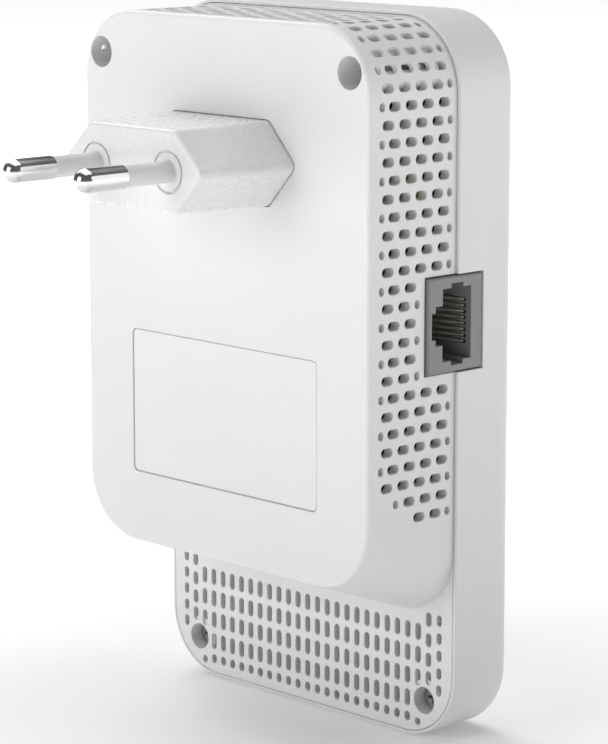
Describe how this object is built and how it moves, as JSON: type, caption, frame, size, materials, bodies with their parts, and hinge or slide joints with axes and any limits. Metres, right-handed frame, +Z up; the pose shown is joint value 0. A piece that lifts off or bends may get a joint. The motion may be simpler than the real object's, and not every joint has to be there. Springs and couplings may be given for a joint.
{
  "type": "powerline adapter",
  "caption": "Wall-plug powerline adapter with a two-pin plug, vented rear block, side network jack and front push buttons.",
  "frame": {"origin": "centre of the plug's engagement face, midway between the two pins", "axes": "+Z up when plugged in, +Y along the pins into the wall socket, front cover faces -Y"},
  "size_m": [0.0726, 0.0743, 0.1256],
  "materials": {
    "white_shell": "fine satin grain",
    "white_plug": "smooth satin",
    "pin_metal": "polished nickel plate",
    "sleeve_grey": "smooth",
    "brass_strap": "bright",
    "label_white": "smooth printed film",
    "screw_steel": "zinc plated",
    "jack_grey": "moulded",
    "contact_gold": "gold plated",
    "board_green": "solder mask",
    "sheet_clear": "thin film",
    "ferrite": "sintered",
    "bobbin_black": "moulded",
    "tape_yellow": "polyester tape",
    "copper_wire": "enamelled",
    "cap_sleeve": "shrink sleeve",
    "cap_film_yellow": "moulded box",
    "disc_blue": "dipped epoxy",
    "chip_black": "moulded epoxy",
    "tin_can": "tin plated",
    "alloy": "extruded",
    "pad_grey": "soft",
    "ceramic_tan": "fired",
    "led_white": "clear resin",
    "pipe_clear": "clear moulded",
    "switch_black": "moulded",
    "button_white": "satin",
    "lead_grey": "coaxial jacket"
  },
  "bodies": {
    "body": {"analogue_chip": "chip_black", "antenna_leads": "lead_grey", "antennas": "tin_can", "board_header": "bobbin_black", "board_socket": "bobbin_black", "bottom_screws": "screw_steel", "bridge_rectifier": "chip_black", "bulk_capacitors": "cap_sleeve", "chip_capacitors": "ceramic_tan", "choke_base": "bobbin_black", "choke_core": "ferrite", "choke_windings": "copper_wire", "contact_straps": "brass_strap", "coupling_capacitor": "cap_film_yellow", "coupling_transformer": "chip_black", "crystals": "tin_can", "ethernet_chip": "chip_black", "flash_chip": "chip_black", "front_cover": "white_shell", "fuse": "bobbin_black", "header_pins": "contact_gold", "heat_spreader": "alloy", "heatsink": "alloy", "insulation_sheet": "sheet_clear", "jack_contacts": "contact_gold", "jack_housing": "jack_grey", "leds": "led_white", "light_pipe": "pipe_clear", "logic_board": "board_green", "logic_board_screws": "screw_steel", "memory_chip": "chip_black", "network_transformer": "chip_black", "optocoupler": "chip_black", "output_capacitors": "cap_sleeve", "pin_sleeves": "sleeve_grey", "plug_body": "white_plug", "plug_pins": "pin_metal", "power_board": "board_green", "power_board_screws": "screw_steel", "power_inductors": "ferrite", "powerline_chip": "chip_black", "rating_label": "label_white", "rear_housing": "white_shell", "safety_capacitor": "disc_blue", "switch_bodies": "switch_black", "switching_transistor": "chip_black", "thermal_pad": "pad_grey", "top_screws": "screw_steel", "transformer_bobbin": "bobbin_black", "transformer_core": "ferrite", "transformer_winding": "tape_yellow", "varistor": "disc_blue", "wifi_chip": "chip_black", "wifi_shield": "tin_can", "x_capacitor": "cap_film_yellow"},
    "pair_button": {"pair_button": "button_white"},
    "wifi_button": {"wifi_button": "button_white"},
    "pair_plunger": {"pair_switch_plunger": "switch_black"},
    "wifi_plunger": {"wifi_switch_plunger": "switch_black"}
  },
  "joints": [
    {"name": "pair_press", "type": "slide", "parent": "body", "child": "pair_button", "axis": [0, 1, 0], "range_m": [0, 0.0004], "stiffness_N_per_m": 1500},
    {"name": "wifi_press", "type": "slide", "parent": "body", "child": "wifi_button", "axis": [0, 1, 0], "range_m": [0, 0.0004], "stiffness_N_per_m": 1500},
    {"name": "pair_plunger_slide", "type": "slide", "parent": "body", "child": "pair_plunger", "axis": [0, 1, 0], "range_m": [0, 0.00055]},
    {"name": "wifi_plunger_slide", "type": "slide", "parent": "body", "child": "wifi_plunger", "axis": [0, 1, 0], "range_m": [0, 0.00055]}
  ],
  "couplings": [
    {"joint": "pair_plunger_slide", "follows": "pair_press", "ratio": 1},
    {"joint": "wifi_plunger_slide", "follows": "wifi_press", "ratio": 1}
  ]
}
